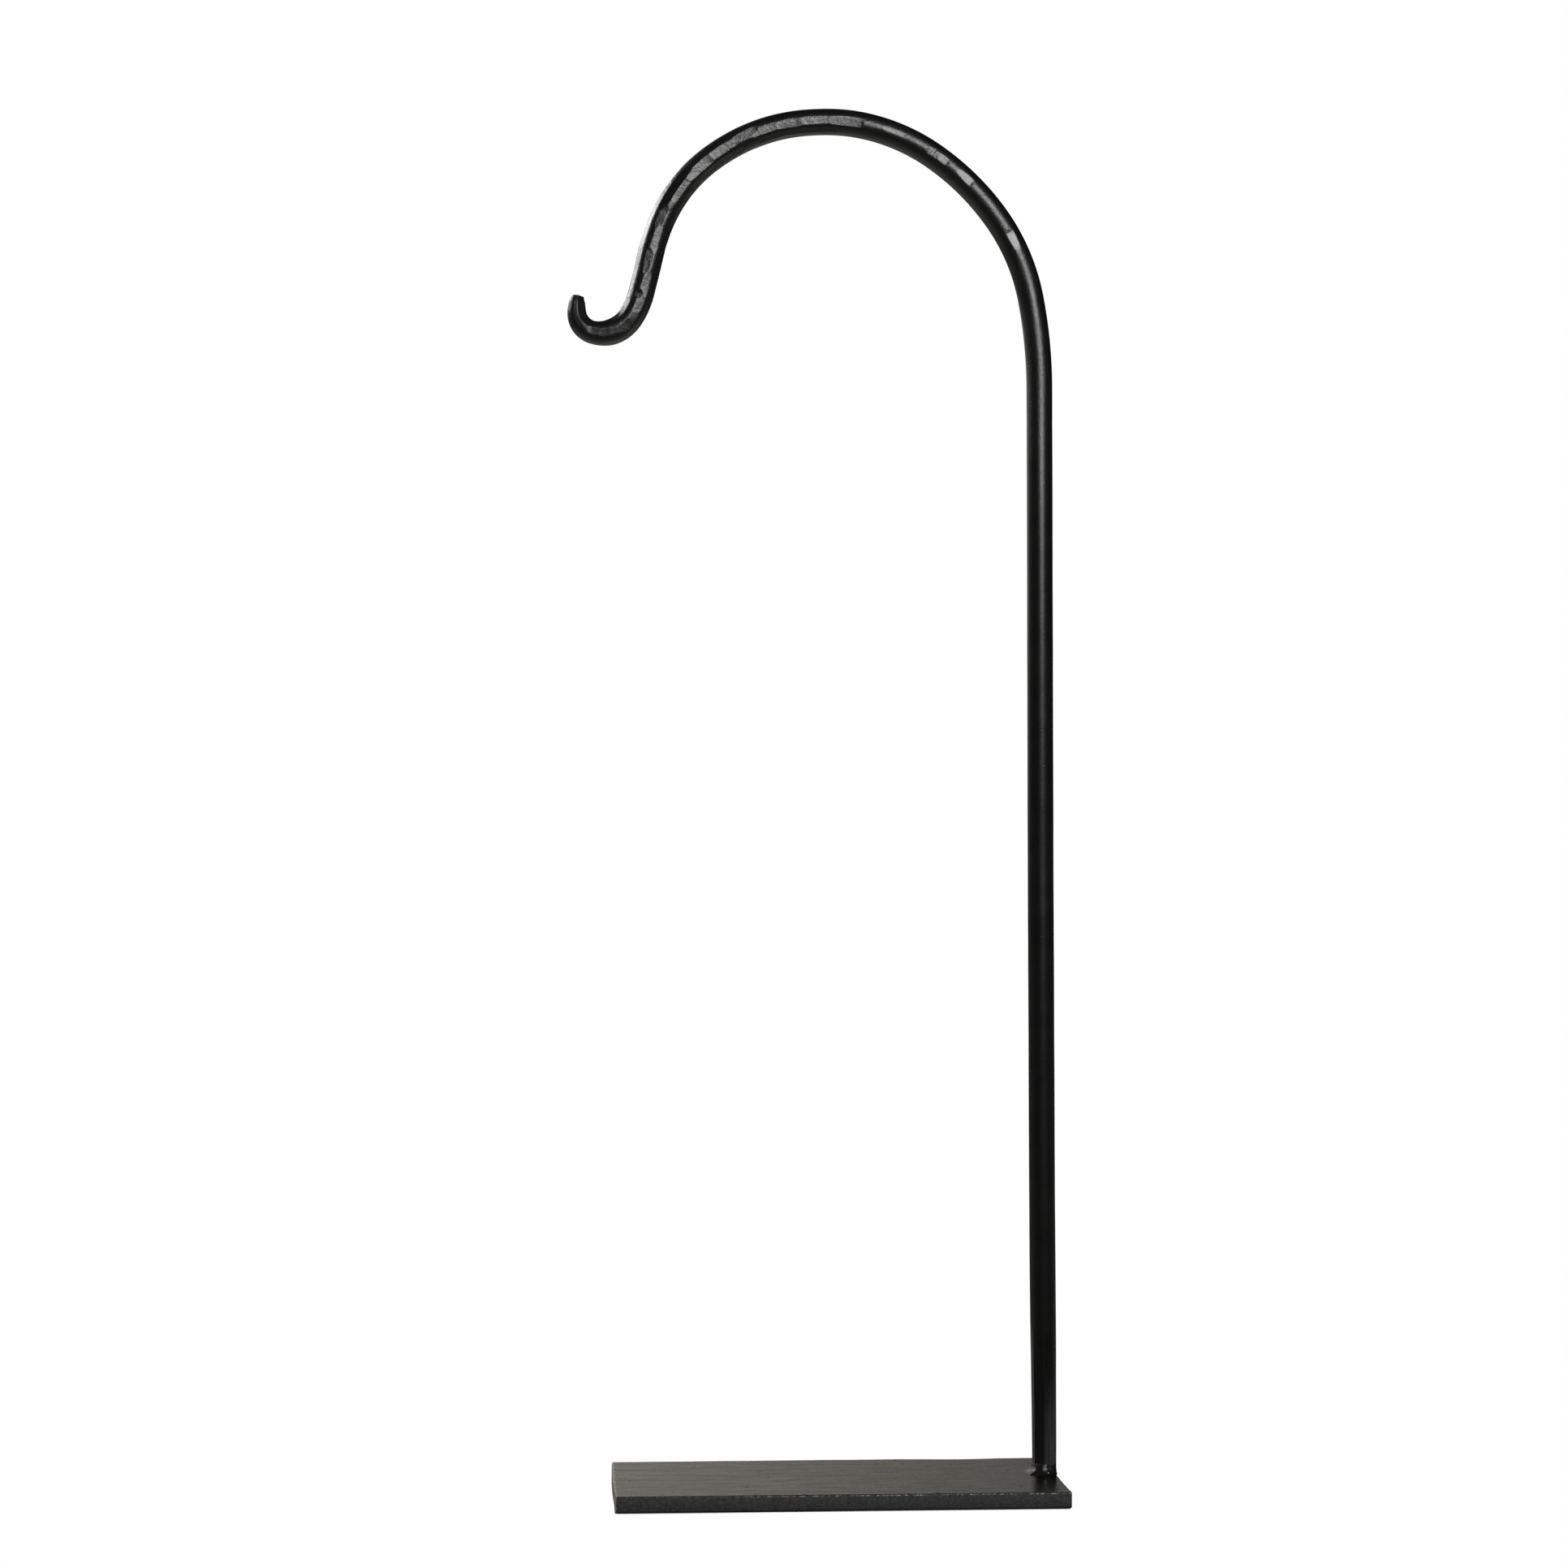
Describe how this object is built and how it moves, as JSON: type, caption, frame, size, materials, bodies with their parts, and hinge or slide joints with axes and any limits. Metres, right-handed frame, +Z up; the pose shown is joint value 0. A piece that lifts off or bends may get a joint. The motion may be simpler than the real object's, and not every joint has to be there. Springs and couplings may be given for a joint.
{
  "type": "hook stand",
  "caption": "Black steel hanging stand: a forged round-bar crook with a small J hook, welded upright on one end of a flat-bar base.",
  "frame": {"origin": "middle of the flat base's underside, on the surface the stand rests on", "axes": "+Z up; +X along the base towards the end that carries the post, so the hook is towards -X; -Y is the front"},
  "size_m": [0.1537, 0.05, 0.4326],
  "materials": {
    "base_steel": "satin grey-black lacquer over brushed mill scale, worn bright along the edges",
    "bar_steel": "semi-gloss black over hammered, slightly pitted steel",
    "weld_steel": "semi-gloss black over dressed weld metal"
  },
  "bodies": {
    "root": {"base_plate": "base_steel", "forged_bar": "bar_steel", "weld_fillet": "weld_steel"}
  },
  "joints": []
}
